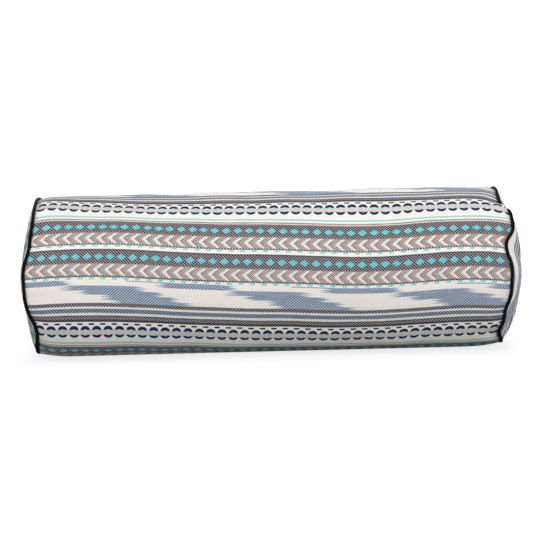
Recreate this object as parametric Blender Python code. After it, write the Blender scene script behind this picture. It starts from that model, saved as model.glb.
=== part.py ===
"""Round bolster pillow: a zipped woven cover with piped ends over a filled inner cushion.

Frame: metres, +Z up, origin on the floor at the middle of the flat that the bolster rests on.
+X runs along the bolster, -Y is its front, and the zip runs along its back at +Y.

The soft pieces are sections swept round the bolster. A point of a section is given by its
station along X and by its depth under the skin, and outline() turns a depth into a loop.
"""

import math

import bmesh
import bpy

# Overall sizes
DIAMETER = 0.2286
SEAM_LENGTH = 0.654  # from one piped seam to the other
REST_WIDTH = 0.080  # the flat that the bolster's weight presses on the floor
END_CROWN = 0.026  # how far an end panel domes out from its rim

# Cloths, and the room between two pieces that touch
COVER_CLOTH = 0.0012
PIPING_CLOTH = 0.0005
MUSLIN = 0.0008
TOUCH = 0.0003
SLACK = 0.0004  # room round the inner cushion, where the cover is loose

# Piped seams
BEAD_RADIUS = 0.00275
CORD_SLACK = 0.00045  # between the filler cord and its casing
HEM_DEPTH = 0.011  # how far the seam allowances reach in from the skin

# Inner cushion
BATTING_WRAP = 0.015

# Zip
ZIP_INSET = 0.069  # from a piped seam to the end of the zip's teeth
ZIP_OPENING = 0.010  # width of the cover's slot
OPENING_SPARE = 0.012  # how far the slot runs past the teeth at each end
TAPE_WIDTH = 0.0134
TAPE_THICKNESS = 0.0006
TAPE_SPARE = 0.012  # how far the tapes run past the slot at each end
CHAIN_HALF_WIDTH = 0.003
CHAIN_HEIGHT = 0.002
CHAIN_PARTING = 0.0006  # from the zip's middle line to each row of teeth
STOP_LENGTH = 0.0037
STOP_RISE = 0.0006  # how far a stop stands above the teeth
SLIDER_LENGTH = 0.012
SLIDER_PLATE = 0.0008
SLIDER_LIP = 0.0011
SLIDER_WEB = 0.0006
BAIL_LENGTH = 0.0068
BAIL_WIDTH = 0.0014
BAIL_BAR = 0.0012
TAB_LENGTH = 0.024
TAB_WIDTH = 0.0054
TAB_THICKNESS = 0.0012
TAB_ARM = 0.0015
TAB_WINDOW = 0.0052
EYE_CLEARANCE = 0.0006  # over and under the tab's eye inside the bail

# Fineness of the swept outlines
AROUND = 36
BELOW_ZIP = 6
BEAD_STEPS = 8
DOME_STEPS = (1.0, 0.975, 0.92, 0.82, 0.65, 0.4)
DOME_POWER = 4

# Places that follow from the sizes above
RADIUS = DIAMETER / 2
HALF = SEAM_LENGTH / 2
AXIS_HEIGHT = math.sqrt(RADIUS**2 - (REST_WIDTH / 2) ** 2)
FACET_SAG = RADIUS * (1 - math.cos((math.pi + 2 * math.asin(AXIS_HEIGHT / RADIUS)) / AROUND / 2))

LEG_FACE = TOUCH / 2 + PIPING_CLOTH  # the piping's two legs lie either side of the seam plane
HEM_FACE = LEG_FACE + TOUCH
SEAT_FACE = BEAD_RADIUS + TOUCH
UNDER_BEAD = 2 * BEAD_RADIUS + TOUCH
PANEL_RIM = BEAD_RADIUS - TOUCH  # depth of the end panel's rim, beside the bead

TAPE_TOP = math.sqrt((RADIUS - COVER_CLOTH) ** 2 - TAPE_WIDTH**2) - FACET_SAG - TOUCH
TAPE_BASE = TAPE_TOP - TAPE_THICKNESS
CHAIN_BASE = TAPE_TOP + TOUCH
CHAIN_TOP = CHAIN_BASE + CHAIN_HEIGHT
CHAIN_END = HALF - ZIP_INSET
OPENING_END = CHAIN_END + OPENING_SPARE
TAPE_END = OPENING_END + TAPE_SPARE
SLIDER_UNDER = TAPE_BASE - TOUCH
SLIDER_BASE = SLIDER_UNDER - SLIDER_PLATE
SLIDER_OVER = CHAIN_TOP + TOUCH
SLIDER_TOP = SLIDER_OVER + SLIDER_PLATE
SLIDER_X = CHAIN_END - SLIDER_LENGTH / 2
EYE_Y = SLIDER_TOP + EYE_CLEARANCE + TAB_THICKNESS / 2
BAIL_INSIDE = EYE_Y + TAB_THICKNESS / 2 + EYE_CLEARANCE

CUSHION_DEPTH = COVER_CLOTH + FACET_SAG + SLACK
CUSHION_BACK = SLIDER_BASE - TOUCH  # the zip presses the cushion flat this far behind its axis
CUSHION_END = SEAT_FACE + COVER_CLOTH + TOUCH  # from the seam plane, inside the cover's hem
NECK_DEPTH = HEM_DEPTH + FACET_SAG + TOUCH
DOME_INSET = SLACK + FACET_SAG  # of the cushion's domes inside the end panels'
FILL_END = CUSHION_END + MUSLIN + TOUCH

# Colours: base colour, roughness, metallic
FINISHES = {
    "woven_cloth": ((0.42, 0.42, 0.43), 0.9, 0.0),
    "black_cloth": ((0.012, 0.011, 0.012), 0.7, 0.0),
    "cotton_cord": ((0.80, 0.77, 0.70), 0.95, 0.0),
    "zip_tape": ((0.02, 0.02, 0.022), 0.85, 0.0),
    "zip_coil": ((0.03, 0.03, 0.032), 0.4, 0.0),
    "zip_metal": ((0.55, 0.54, 0.52), 0.3, 1.0),
    "muslin": ((0.82, 0.80, 0.75), 0.95, 0.0),
    "batting": ((0.90, 0.90, 0.88), 1.0, 0.0),
}


def outline(depth, zip_flat=False):
    """Loop of (y, z) points round the bolster at a depth under its skin, flat on the floor side.

    It starts at the floor, behind, and runs up the back and over the top. With zip_flat, its
    back is pressed flat by the zip as the cushion's is.
    """
    radius = RADIUS - depth
    floor = math.asin((AXIS_HEIGHT - depth) / radius)
    arcs = [(-floor, math.pi + floor, AROUND)]
    if zip_flat:
        back = math.acos((CUSHION_BACK - depth + CUSHION_DEPTH) / radius)
        arcs = [(-floor, -back, BELOW_ZIP), (back, math.pi + floor, AROUND - BELOW_ZIP)]
    points = []
    for first, last, steps in arcs:
        for step in range(steps + 1):
            angle = first + (last - first) * step / steps
            points.append((radius * math.cos(angle), AXIS_HEIGHT + radius * math.sin(angle)))
    return points


def shrunk(loop, share):
    """The loop drawn in towards the bolster's axis."""
    return [(y * share, AXIS_HEIGHT + (z - AXIS_HEIGHT) * share) for y, z in loop]


def dome_rise(share):
    """How far the end panel has domed out, at this share of its rim's size."""
    return END_CROWN * (1 - share**DOME_POWER)


def finish_material(name):
    """The material of a finish, made once."""
    material = bpy.data.materials.get(name)
    if material is None:
        colour, roughness, metallic = FINISHES[name]
        material = bpy.data.materials.new(name)
        material.use_nodes = True
        shader = material.node_tree.nodes["Principled BSDF"]
        shader.inputs["Base Color"].default_value = (*colour, 1.0)
        shader.inputs["Roughness"].default_value = roughness
        shader.inputs["Metallic"].default_value = metallic
    return material


def add_piece(name, points, faces, finish, origin=(0.0, 0.0, 0.0), smooth=True):
    """One named piece from its points, in the part's frame, with its object's origin at origin."""
    mesh = bpy.data.meshes.new(name)
    mesh.from_pydata([[p - o for p, o in zip(point, origin)] for point in points], [], faces)
    shape = bmesh.new()
    shape.from_mesh(mesh)
    bmesh.ops.recalc_face_normals(shape, faces=shape.faces)
    shape.to_mesh(mesh)
    shape.free()
    if smooth:
        mesh.shade_smooth()
        mesh.set_sharp_from_angle(angle=math.radians(40))
    mesh.materials.append(finish_material(finish))
    piece = bpy.data.objects.new(name, mesh)
    piece.location = origin
    bpy.context.collection.objects.link(piece)
    return piece


def skin(loops, ring):
    """Points and faces of a solid through loops of 3-D points: a ring joins its last loop to its
    first, and any other solid is closed by a cap at both ends."""
    count = len(loops[0])
    points = [point for loop in loops for point in loop]
    faces = []
    for i in range(len(loops) if ring else len(loops) - 1):
        first, second = i * count, (i + 1) % len(loops) * count
        for k in range(count):
            after = (k + 1) % count
            faces.append((first + k, first + after, second + after, second + k))
    if not ring:
        faces.append(tuple(range(count)))
        faces.append(tuple(range(len(points) - count, len(points))))
    return points, faces


def add_swept(name, sections, finish, ring):
    """A piece swept round the bolster, from pairs of a station along X and an outline there."""
    loops = [[(x, y, z) for y, z in loop] for x, loop in sections]
    return add_piece(name, *skin(loops, ring), finish)


def add_extruded(name, profile, low, high, along, finish, origin=(0.0, 0.0, 0.0)):
    """A piece with one flat profile, extruded along X or Z. The profile is in (y, z) or (x, y)."""
    if along == "X":
        loops = [[(end, a, b) for a, b in profile] for end in (low, high)]
    else:
        loops = [[(a, b, end) for a, b in profile] for end in (low, high)]
    return add_piece(name, *skin(loops, False), finish, origin, smooth=False)


def rectangle(low, high):
    """Corners of an upright rectangle between two corners."""
    return [(low[0], low[1]), (high[0], low[1]), (high[0], high[1]), (low[0], high[1])]


def at_end(side, offset):
    """Station along X of a point this far outside the seam plane at one end (side is -1 or 1)."""
    return side * (HALF + offset)


def hem(rim_depth):
    """A cloth's edge at a piped seam, as (distance from the seam plane, depth) points: it meets
    the bead, goes down beside it, and is turned in along the piping's leg."""
    return [
        (SEAT_FACE, rim_depth),
        (SEAT_FACE, UNDER_BEAD),
        (HEM_FACE, UNDER_BEAD),
        (HEM_FACE, HEM_DEPTH),
        (HEM_FACE + COVER_CLOTH, HEM_DEPTH),
        (HEM_FACE + COVER_CLOTH, UNDER_BEAD + COVER_CLOTH),
        (SEAT_FACE + COVER_CLOTH, UNDER_BEAD + COVER_CLOTH),
    ]


def build_cover_body():
    """The woven tube, hemmed at both ends, with the slot for the zip at its back."""
    edge = hem(0.0) + [(SEAT_FACE + COVER_CLOTH, COVER_CLOTH)]
    sections = [(at_end(1, -offset), outline(depth)) for offset, depth in edge]
    sections += [(at_end(-1, -offset), outline(depth)) for offset, depth in reversed(edge)]
    body = add_swept("cover_body", sections, "woven_cloth", ring=True)

    half_width = ZIP_OPENING / 2
    profile = rectangle(
        (RADIUS - 10 * COVER_CLOTH, AXIS_HEIGHT - half_width),
        (RADIUS + COVER_CLOTH, AXIS_HEIGHT + half_width),
    )
    cutter = add_extruded("zip_slot_cutter", profile, -OPENING_END, OPENING_END, "X", "woven_cloth")
    cutter.hide_render = True
    cutter.display_type = "WIRE"
    cut = body.modifiers.new("zip slot", "BOOLEAN")
    cut.operation = "DIFFERENCE"
    cut.object = cutter


def build_end_panel(side, word):
    """The domed cloth disc that closes one end."""
    rim = outline(PANEL_RIM)
    outer = [
        (at_end(side, SEAT_FACE + COVER_CLOTH + dome_rise(share)), shrunk(rim, share))
        for share in reversed(DOME_STEPS)
    ]
    edge = [(at_end(side, offset), outline(depth)) for offset, depth in hem(PANEL_RIM)]
    inner = [
        (at_end(side, SEAT_FACE + dome_rise(share)), shrunk(rim, share))
        for share in DOME_STEPS[1:]
    ]
    add_swept(f"end_panel_{word}", outer + edge + inner, "woven_cloth", ring=False)


def bead(radius, half_gap, steps, side_first):
    """Points round the bead, open at its foot by twice half_gap, as (offset, depth)."""
    sweep = math.pi - math.asin(half_gap / radius)
    points = []
    for step in range(steps + 1):
        angle = side_first * sweep * (1 - 2 * step / steps)
        points.append((radius * math.sin(angle), BEAD_RADIUS - radius * math.cos(angle)))
    return points


def build_piping(side, word):
    """One end's piping: cloth folded round a filler cord, with its two legs in the seam."""
    outer = bead(BEAD_RADIUS, LEG_FACE, BEAD_STEPS, 1)
    inner = bead(BEAD_RADIUS - PIPING_CLOTH, TOUCH / 2, BEAD_STEPS, -1)
    section = [(LEG_FACE, HEM_DEPTH)] + outer + [(-LEG_FACE, HEM_DEPTH)]
    section += [(-TOUCH / 2, HEM_DEPTH)] + inner + [(TOUCH / 2, HEM_DEPTH)]
    sections = [(at_end(side, offset), outline(depth)) for offset, depth in section]
    add_swept(f"piping_casing_{word}", sections, "black_cloth", ring=True)

    cord_radius = BEAD_RADIUS - PIPING_CLOTH - CORD_SLACK
    section = []
    for step in range(BEAD_STEPS):
        angle = 2 * math.pi * step / BEAD_STEPS
        section.append((cord_radius * math.sin(angle), BEAD_RADIUS - cord_radius * math.cos(angle)))
    sections = [(at_end(side, offset), outline(depth)) for offset, depth in section]
    add_swept(f"piping_cord_{word}", sections, "cotton_cord", ring=True)


def cushion_dome(side, depth, inset):
    """Stations and outlines of the cushion's domed end from its neck, under the end panel: inset
    is how far it lies inside the panel, and depth is the depth of its neck there."""
    neck = outline(depth, zip_flat=True)
    neck_share = (RADIUS - NECK_DEPTH) / (RADIUS - PANEL_RIM)
    shares = [neck_share] + [share for share in DOME_STEPS if share < neck_share]
    return [
        (at_end(side, SEAT_FACE + dome_rise(share) - inset), shrunk(neck, share / neck_share))
        for share in shares
    ]


def build_cushion_casing():
    """The muslin tube of the inner cushion."""
    end = HALF - FILL_END
    sections = [
        (-end, outline(CUSHION_DEPTH, True)),
        (end, outline(CUSHION_DEPTH, True)),
        (end, outline(CUSHION_DEPTH + MUSLIN, True)),
        (-end, outline(CUSHION_DEPTH + MUSLIN, True)),
    ]
    add_swept("inner_casing_tube", sections, "muslin", ring=True)


def build_cushion_end(side, word):
    """One end of the inner cushion: the muslin disc, pushed out through the cover's hem, and the
    wad of loose batting that fills it."""
    outer = cushion_dome(side, NECK_DEPTH, DOME_INSET)
    inner = cushion_dome(side, NECK_DEPTH + MUSLIN, DOME_INSET + MUSLIN)
    brim = [
        (at_end(side, -CUSHION_END), outline(NECK_DEPTH, True)),
        (at_end(side, -CUSHION_END), outline(CUSHION_DEPTH, True)),
        (at_end(side, -CUSHION_END - MUSLIN), outline(CUSHION_DEPTH, True)),
        (at_end(side, -CUSHION_END - MUSLIN), outline(NECK_DEPTH + MUSLIN, True)),
    ]
    sections = list(reversed(outer)) + brim + inner
    add_swept(f"inner_casing_end_{word}", sections, "muslin", ring=False)

    wad_depth = NECK_DEPTH + MUSLIN + TOUCH
    base = [(at_end(side, -CUSHION_END - MUSLIN), outline(wad_depth, True))]
    dome = cushion_dome(side, wad_depth, DOME_INSET + MUSLIN + TOUCH)
    add_swept(f"end_wad_{word}", base + dome, "batting", ring=False)


def build_fill():
    """The firm rolled core and the softer batting wrapped round it."""
    end = HALF - FILL_END
    wrap_outside = CUSHION_DEPTH + MUSLIN + TOUCH
    wrap_inside = wrap_outside + BATTING_WRAP
    sections = [
        (-end, outline(wrap_outside, True)),
        (end, outline(wrap_outside, True)),
        (end, outline(wrap_inside, True)),
        (-end, outline(wrap_inside, True)),
    ]
    add_swept("batting_wrap", sections, "batting", ring=True)
    core = outline(wrap_inside + TOUCH, True)
    add_swept("fill_core", [(-end, core), (end, core)], "batting", ring=False)


def zip_bar(name, low, high, ends, finish):
    """A straight bar of the zip: low and high are (y, height over the axis) corners."""
    profile = rectangle((low[0], AXIS_HEIGHT + low[1]), (high[0], AXIS_HEIGHT + high[1]))
    add_extruded(name, profile, ends[0], ends[1], "X", finish)


def build_zip_side(side, word):
    """One tape with its row of teeth and its top stop (side is 1 above the middle, -1 below)."""

    def bar(name, y_low, y_high, near, far, ends, finish):
        across = sorted((side * near, side * far))
        zip_bar(f"{name}_{word}", (y_low, across[0]), (y_high, across[1]), ends, finish)

    chain = (-CHAIN_END, CHAIN_END)
    tape = (-TAPE_END, TAPE_END)
    stop = (CHAIN_END + TOUCH, CHAIN_END + TOUCH + STOP_LENGTH)
    bar("zip_tape", TAPE_BASE, TAPE_TOP, CHAIN_PARTING, TAPE_WIDTH, tape, "zip_tape")
    bar("zip_teeth", CHAIN_BASE, CHAIN_TOP, CHAIN_PARTING, CHAIN_HALF_WIDTH, chain, "zip_coil")
    stop_top = CHAIN_TOP + STOP_RISE
    bar("zip_top_stop", CHAIN_BASE, stop_top, CHAIN_PARTING, CHAIN_HALF_WIDTH, stop, "zip_metal")


def build_bottom_stop():
    """The staple across both rows of teeth at the zip's open end."""
    low = (CHAIN_BASE, -CHAIN_HALF_WIDTH)
    high = (CHAIN_TOP + STOP_RISE, CHAIN_HALF_WIDTH)
    ends = (-CHAIN_END - TOUCH - STOP_LENGTH, -CHAIN_END - TOUCH)
    zip_bar("zip_bottom_stop", low, high, ends, "zip_metal")


def build_slider():
    """The slider: a plate over and a plate under the teeth, joined by a web between the two rows,
    with lips over their outer edges and a bail for the tab on top."""
    web = SLIDER_WEB / 2
    lip_inner = CHAIN_HALF_WIDTH + TOUCH
    lip_outer = lip_inner + SLIDER_LIP
    half = [
        (SLIDER_TOP, lip_outer),
        (CHAIN_BASE, lip_outer),
        (CHAIN_BASE, lip_inner),
        (SLIDER_OVER, lip_inner),
        (SLIDER_OVER, web),
        (SLIDER_UNDER, web),
        (SLIDER_UNDER, lip_outer),
        (SLIDER_BASE, lip_outer),
    ]
    profile = [(y, AXIS_HEIGHT + z) for y, z in half]
    profile += [(y, AXIS_HEIGHT - z) for y, z in reversed(half)]
    low, high = SLIDER_X - SLIDER_LENGTH / 2, SLIDER_X + SLIDER_LENGTH / 2
    origin = (SLIDER_X, EYE_Y, AXIS_HEIGHT)
    # The end face stops short of the top stops.
    slider = add_extruded(
        "zip_slider", profile, low + TOUCH, high - TOUCH, "X", "zip_metal", origin
    )

    outside, inside = BAIL_LENGTH / 2, BAIL_LENGTH / 2 - BAIL_BAR
    foot = SLIDER_TOP - SLIDER_PLATE / 2
    arch = [
        (outside, foot),
        (outside, BAIL_INSIDE),
        (inside, BAIL_INSIDE + BAIL_BAR),
        (-inside, BAIL_INSIDE + BAIL_BAR),
        (-outside, BAIL_INSIDE),
        (-outside, foot),
        (-inside, foot),
        (-inside, BAIL_INSIDE),
        (inside, BAIL_INSIDE),
        (inside, foot),
    ]
    bail = add_extruded(
        "zip_bail_form",
        [(SLIDER_X + x, y) for x, y in arch],
        AXIS_HEIGHT - BAIL_WIDTH / 2,
        AXIS_HEIGHT + BAIL_WIDTH / 2,
        "Z",
        "zip_metal",
    )
    bail.hide_render = True
    bail.display_type = "WIRE"
    join = slider.modifiers.new("bail", "BOOLEAN")
    join.operation = "UNION"
    join.object = bail


def rounded_loop(low, high, radius, y):
    """A rectangle with rounded corners in the plane across Y, as (x, y, z) points."""
    loop = []
    corners = [(high[0], high[1], 0), (low[0], high[1], 1), (low[0], low[1], 2), (high[0], low[1], 3)]
    for x, z, quarter in corners:
        centre_x = x + (radius if x == low[0] else -radius)
        centre_z = z + (radius if z == low[1] else -radius)
        for step in range(3):
            angle = math.pi / 2 * (quarter + step / 2)
            loop.append((centre_x + radius * math.cos(angle), y, centre_z + radius * math.sin(angle)))
    return loop


def build_pull_tab():
    """The tab, a plate with a window whose end bar turns in the bail."""
    half = TAB_WIDTH / 2
    eye = TAB_THICKNESS / 2
    outer = (
        (SLIDER_X + eye - TAB_LENGTH, AXIS_HEIGHT - half),
        (SLIDER_X + eye, AXIS_HEIGHT + half),
    )
    window = (
        (SLIDER_X - eye - TAB_WINDOW, AXIS_HEIGHT - half + TAB_ARM),
        (SLIDER_X - eye, AXIS_HEIGHT + half - TAB_ARM),
    )
    low, high = EYE_Y - TAB_THICKNESS / 2, EYE_Y + TAB_THICKNESS / 2
    corner, window_corner = TAB_THICKNESS / 2, TAB_THICKNESS / 4
    loops = [
        rounded_loop(*outer, corner, low),
        rounded_loop(*outer, corner, high),
        rounded_loop(*window, window_corner, high),
        rounded_loop(*window, window_corner, low),
    ]
    origin = (SLIDER_X, EYE_Y, AXIS_HEIGHT)
    add_piece("zip_pull_tab", *skin(loops, True), "zip_metal", origin, smooth=False)


def build():
    for thing in list(bpy.data.objects):
        bpy.data.objects.remove(thing, do_unlink=True)
    build_cover_body()
    for side, word in ((-1, "left"), (1, "right")):
        build_end_panel(side, word)
        build_piping(side, word)
        build_cushion_end(side, word)
    build_cushion_casing()
    build_fill()
    for side, word in ((1, "upper"), (-1, "lower")):
        build_zip_side(side, word)
    build_bottom_stop()
    build_slider()
    build_pull_tab()


build()
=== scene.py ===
import math

import bmesh
import bpy
import numpy as np
from mathutils import Matrix, Vector


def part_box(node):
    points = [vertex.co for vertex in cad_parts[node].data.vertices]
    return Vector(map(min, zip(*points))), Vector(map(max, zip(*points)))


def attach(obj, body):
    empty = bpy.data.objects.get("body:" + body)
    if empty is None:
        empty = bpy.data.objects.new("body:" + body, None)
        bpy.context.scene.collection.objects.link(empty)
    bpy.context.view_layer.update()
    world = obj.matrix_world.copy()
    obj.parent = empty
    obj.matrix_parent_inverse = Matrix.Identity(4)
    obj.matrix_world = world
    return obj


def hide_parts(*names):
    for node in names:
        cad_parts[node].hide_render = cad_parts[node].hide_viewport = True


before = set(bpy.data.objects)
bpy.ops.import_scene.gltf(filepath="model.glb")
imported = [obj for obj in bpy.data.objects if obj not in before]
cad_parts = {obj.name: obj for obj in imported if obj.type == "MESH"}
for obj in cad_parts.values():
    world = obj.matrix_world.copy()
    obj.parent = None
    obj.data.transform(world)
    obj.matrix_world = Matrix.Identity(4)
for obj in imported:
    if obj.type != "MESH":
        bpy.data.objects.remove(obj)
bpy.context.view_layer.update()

# ---------------------------------------------------------------- sizes, in metres
COVER_LOW, COVER_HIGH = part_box("cover_body")
RADIUS = (COVER_HIGH.y - COVER_LOW.y) / 2
AXIS = COVER_HIGH.z - RADIUS
MIDDLE = np.array([0, 0, AXIS])
REST_HALF = 0.040
PIPING_LOW, PIPING_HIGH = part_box("piping_casing_right")
BEAD = (PIPING_HIGH.x - PIPING_LOW.x) / 2
SHOWN_BEAD = 0.77 * BEAD

COVER_CLOTH = 0.0010
HEM = 0.0095
CORNER_LENGTH = 0.024
CORNER_DROP = 0.0040
CROWN = {"right": 0.0305, "left": 0.0195}
CROWN_POWER = {"right": 2.4, "left": 2.6}
CROWN_LIFT = {"right": -0.020, "left": 0.0}
CUT_SPARE_LENGTH = 0.003
CUT_SPARE_GIRTH = 0.002
MOST_RAISED = 0.0018
BASE_CORNER_SINK = 0.0010
FOLD_ARC, FOLD_HALF, FOLD_REACH, FOLD_RISE = 0.108, 0.007, 0.022, 0.0046
BASE_PULL, BASE_PULL_HEIGHT = 0.0042, 0.016
PANEL_INSET, PIPING_INSET, MUSLIN_INSET = 0.0046, 0.0026, 0.0052
LOWEST_CLOTH = 0.0002
MOST_SUNK = 0.0010
OPENING_HALF = 0.270
OPENING_GAP = 0.0048
AROUND = 196
ALONG = 176
BAND_TOP = 0.083
SKEW = 0.066
SIDES = (("left", -1), ("right", 1))


def quarter_table():
    """The lower quarter of the section, from the widest point down to the edge of the base."""
    turn = np.linspace(0, np.pi / 2, 1201)
    out = REST_HALF + (RADIUS - REST_HALF) * np.cos(turn)
    down = AXIS * np.sin(turn)
    arc = np.concatenate([[0], np.cumsum(np.hypot(np.diff(out), np.diff(down)))])
    return arc, out, down


LOWER_ARC, LOWER_OUT, LOWER_DOWN = quarter_table()
QUARTER = LOWER_ARC[-1]
OVER = math.pi * RADIUS
UNDER = 2 * QUARTER + 2 * REST_HALF
GIRTH = OVER + UNDER


def section(arc):
    """Points and outward directions of the bolster's section.

    arc runs from the middle of the front, up over the top to the zip, and below nought
    down the front and under the base to the zip.
    """
    arc = np.asarray(arc, float)
    arc = np.where(arc > OVER, arc - GIRTH, arc)
    arc = np.where(arc < -UNDER, arc + GIRTH, arc)
    angle = np.clip(arc, 0, OVER) / RADIUS
    y, z = -RADIUS * np.cos(angle), RADIUS * np.sin(angle)
    down = np.clip(-arc, 0, UNDER)
    mirrored = down > UNDER / 2
    near = np.where(mirrored, UNDER - down, down)
    low_y = -np.interp(near, LOWER_ARC, LOWER_OUT) + np.clip(near - QUARTER, 0, None)
    low_z = -np.interp(near, LOWER_ARC, LOWER_DOWN)
    low_y = np.where(mirrored, -low_y, low_y)
    below = arc < 0
    y, z = np.where(below, low_y, y), np.where(below, low_z, z)
    lift = np.where(below & (near < QUARTER), z * (RADIUS - REST_HALF) ** 2 / AXIS ** 2, z)
    side = np.where(below, np.sign(y) * np.clip(np.abs(y) - REST_HALF, 0, None), y)
    flat = below & (near >= QUARTER)
    side, lift = np.where(flat, 0, side), np.where(flat, -1, lift)
    size = np.hypot(side, lift)
    return y, z + AXIS, side / size, lift / size


def pulled(at, pulls, power=2):
    """The sum of a few smooth pulls, each a (middle, height, half width) in metres."""
    return sum(height * np.exp(-np.abs((at - middle) / half) ** power)
               for middle, height, half in pulls)


# The end seams lie near SEAM_OUT from the middle. Folds push them out, tucks draw them in.
SEAM_OUT = 0.321
SEAM_RIPPLE = 0.0010
SEAM_WAVES = 5
FOLDS = {"left": [(0.0, 0.0085, 0.044)],
         "right": [(-0.006, 0.008, 0.035), (0.083, 0.013, 0.027)]}
TUCKS = {"left": [(-0.072, -0.004, 0.026)], "right": [(-0.088, -0.0075, 0.017)]}

# The roll was twisted a little as it was filled, so the stripes drift along it.
DRIFT_UPPER = [(-0.330, 0.022, 0.135), (0.170, -0.003, 0.090), (0.345, -0.024, 0.035)]
DRIFT_MIDDLE = [(-0.260, 0.0155, 0.170), (0.140, -0.0055, 0.090), (0.345, -0.006, 0.045)]
DRIFT_LOWER = [(-0.260, 0.0155, 0.170), (-0.340, 0.012, 0.030), (0.110, -0.005, 0.080)]


def seam_place(side, arc):
    """How far along the roll an end seam lies, at a place round it."""
    turned = np.mod(arc + GIRTH / 2, GIRTH) - GIRTH / 2
    ripple = SEAM_RIPPLE * np.sin(2 * np.pi * SEAM_WAVES * arc / GIRTH)
    out = (SEAM_OUT + ripple + pulled(turned, FOLDS[side], 4) + pulled(turned, TUCKS[side]))
    return out * dict(SIDES)[side]


def stripe_ride(x, arc):
    """The drift of the woven stripes at a place on the roll, in metres."""
    upper, middle, lower = (pulled(x, pulls)
                            for pulls in (DRIFT_UPPER, DRIFT_MIDDLE, DRIFT_LOWER))
    high = np.clip((arc - 0.085) / 0.045, 0, 1)
    low = np.clip((-0.035 - arc) / 0.045, 0, 1)
    return middle + (upper - middle) * high + (lower - middle) * low


def swell(x, arc, from_left, from_right):
    """How far the filled cover stands out from the plain roll, in metres."""
    out = np.zeros_like(x)
    for gap, turn in ((from_left, 0.7), (from_right, 2.1)):
        near = np.clip(1 - gap / CORNER_LENGTH, 0, 1)
        out -= CORNER_DROP * near ** 2
        fade = np.exp(-np.clip(gap, 0, None) / 0.030) * np.clip(gap / 0.006, 0, 1)
        gather = np.sin(arc / 0.0061 + turn + 1.6 * np.sin(arc / 0.023 + turn))
        out += 0.0008 * fade * gather
    out += 0.0006 * np.sin(x / 0.034 + 1.2 * np.sin(arc / 0.05)) * np.sin(arc / 0.045 + 0.6)
    out += 0.0005 * np.sin(x / 0.0145 + arc / 0.06 + 0.8) * np.sin(arc / 0.031 + x / 0.11)
    return out


def cover_grid(around, along):
    """The cover's outer face as a grid of points: rows along the length, columns round it."""
    share = np.linspace(0, 1, along + 1)[:, None]
    rough = np.linspace(-UNDER, OVER, around + 1)[None, :]
    length = seam_place("left", rough) + (seam_place("right", rough)
                                          - seam_place("left", rough)) * share
    gap = OPENING_GAP * np.clip((OPENING_HALF - np.abs(length)) / 0.006, 0, 1) ** 0.5
    gap = gap + 0.00025
    arc = -UNDER + gap + (GIRTH - 2 * gap) * (rough + UNDER) / GIRTH
    left, right = seam_place("left", arc), seam_place("right", arc)
    x = left + (right - left) * share
    y, z, out_y, out_z = section(arc)
    lying = np.clip(1 - (z - 0.002) / 0.012, 0, 1) * (arc < 0)
    from_left, from_right = x - left, right - x
    out = swell(x, arc, from_left, from_right)
    near_zip = np.clip(1 - np.minimum(OVER - arc, arc + UNDER) / 0.03, 0, 1)
    out = out * (1 - lying) * (1 - 0.9 * near_zip * (np.minimum(from_left, from_right) > 0.03))
    corner = np.clip(1 - np.minimum(from_left, from_right) / 0.045, 0, 1) ** 2
    out = out - (CORNER_DROP + BASE_CORNER_SINK) * corner * lying
    fold = np.exp(-((arc - FOLD_ARC) / FOLD_HALF) ** 2)
    out = out + FOLD_RISE * fold * np.clip(1 - from_right / FOLD_REACH, 0, 1)
    points = np.stack([x, y + out_y * out, np.maximum(z + out_z * out, LOWEST_CLOTH)], axis=-1)
    return points, arc, x


def mesh_from(name, corners, faces, maps=None, smooth=True):
    """A mesh object with its own maps, each a function of the vertex number."""
    mesh = bpy.data.meshes.new(name)
    mesh.from_pydata(np.asarray(corners, float).tolist(), [], [list(f) for f in faces])
    loops = np.zeros(len(mesh.loops), np.int32)
    mesh.loops.foreach_get("vertex_index", loops)
    for label, values in (maps or {}).items():
        layer = mesh.uv_layers.new(name=label)
        layer.data.foreach_set("uv", np.asarray(values, float)[loops].ravel())
    mesh.polygons.foreach_set("use_smooth", [smooth] * len(mesh.polygons))
    mesh.validate()
    mesh.update()
    piece = bpy.data.objects.new(name, mesh)
    bpy.context.scene.collection.objects.link(piece)
    return piece


def grid_normals(points, closed=False):
    """Outward directions of a grid of points."""
    along = np.gradient(points, axis=0)
    if closed:
        ringed = np.concatenate([points[:, -1:], points, points[:, :1]], axis=1)
        around = (ringed[:, 2:] - ringed[:, :-2]) / 2
    else:
        around = np.gradient(points, axis=1)
    normal = np.cross(along, around)
    return normal / np.maximum(np.linalg.norm(normal, axis=-1, keepdims=True), 1e-12)


def lay_flat(piece, corners_of_faces):
    """A second map with every face in its own place, for baking the cloth's finish."""
    layer = piece.data.uv_layers.new(name="OFBake")
    flat = np.concatenate([np.asarray(face, float).reshape(-1) for face in corners_of_faces])
    layer.data.foreach_set("uv", flat)
    piece.data.uv_layers.active = piece.data.uv_layers["weave"]
    return piece


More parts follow.
